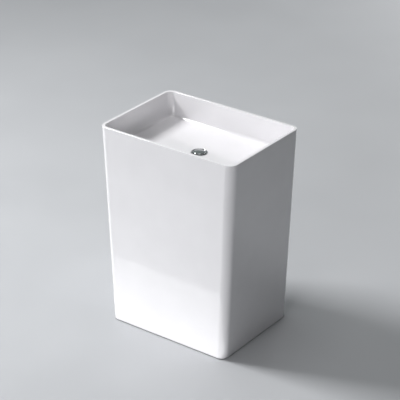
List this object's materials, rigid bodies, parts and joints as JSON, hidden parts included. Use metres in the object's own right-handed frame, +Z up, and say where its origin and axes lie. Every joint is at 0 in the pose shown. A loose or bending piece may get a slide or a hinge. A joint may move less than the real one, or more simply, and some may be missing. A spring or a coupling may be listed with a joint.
{
  "type": "pedestal sink",
  "caption": "Free-standing pedestal sink: a tapered white shell with a thin rim, rounded corners, a dished basin, a click-clack drain and a bottle trap.",
  "frame": {"origin": "middle of the pedestal's footprint, on the floor under the levelling feet", "axes": "+Z up, -Y towards the user, +Y towards the wall, +X to the right as seen from the front"},
  "size_m": [0.5998, 0.425, 0.8],
  "materials": {
    "solid_surface": "gloss",
    "chrome": "polished",
    "brass": "satin",
    "steel": "satin",
    "rubber": "matte",
    "white_plastic": "satin"
  },
  "bodies": {
    "sink": {"pedestal_shell": "solid_surface", "basin_floor": "solid_surface", "floor_batten_front": "solid_surface", "floor_batten_back": "solid_surface", "floor_batten_left": "solid_surface", "floor_batten_right": "solid_surface", "base_rail_left": "solid_surface", "base_rail_right": "solid_surface", "base_rail_front": "solid_surface", "levelling_foot_front_left": "steel", "foot_nut_front_left": "steel", "foot_insert_front_left": "brass", "levelling_foot_back_left": "steel", "foot_nut_back_left": "steel", "foot_insert_back_left": "brass", "levelling_foot_front_right": "steel", "foot_nut_front_right": "steel", "foot_insert_front_right": "brass", "levelling_foot_back_right": "steel", "foot_nut_back_right": "steel", "foot_insert_back_right": "brass", "drain_body": "chrome", "flange_seal": "rubber", "underside_seal": "rubber", "slip_washer": "white_plastic", "lock_nut": "brass", "cartridge_body": "brass", "cartridge_cap": "white_plastic", "plug_spring": "steel", "inlet_nut": "chrome", "inlet_washer": "rubber", "inlet_tube": "chrome", "top_nut": "chrome", "top_washer": "rubber", "trap_body": "chrome", "outlet_washer": "rubber", "outlet_nut": "chrome", "outlet_tube": "chrome", "wall_flange": "chrome"},
    "plug": {"plug_stem": "brass", "plug_seal": "rubber"},
    "plug_head": {"plug_cap": "chrome"},
    "rotor": {"index_rotor": "white_plastic"},
    "cup_carrier": {"cup_seal": "rubber"},
    "cup": {"trap_cup": "chrome"}
  },
  "joints": [
    {"name": "plug_slide", "type": "slide", "parent": "sink", "child": "plug", "axis": [0, 0, 1], "range_m": [-0.002, 0.009], "deforming": ["plug_spring"]},
    {"name": "cap_spin", "type": "hinge", "parent": "plug", "child": "plug_head", "pos_m": [0, 0, 0.697], "axis": [0, 0, 1], "continuous": true},
    {"name": "index_turn", "type": "hinge", "parent": "plug", "child": "rotor", "pos_m": [0, 0, 0.6607], "axis": [0, 0, 1], "range_deg": [-8.5, 37]},
    {"name": "cup_drop", "type": "slide", "parent": "sink", "child": "cup_carrier", "axis": [0, 0, -1], "range_m": [0, 0.0121]},
    {"name": "cup_turn", "type": "hinge", "parent": "cup_carrier", "child": "cup", "pos_m": [0, 0, 0.48], "axis": [0, 0, -1], "range_deg": [0, 1080]}
  ],
  "couplings": [
    {"joint": "index_turn", "follows": "plug_slide", "rad_per_m": 71.4},
    {"joint": "cup_drop", "follows": "cup_turn", "m_per_rad": 0.00063662}
  ]
}
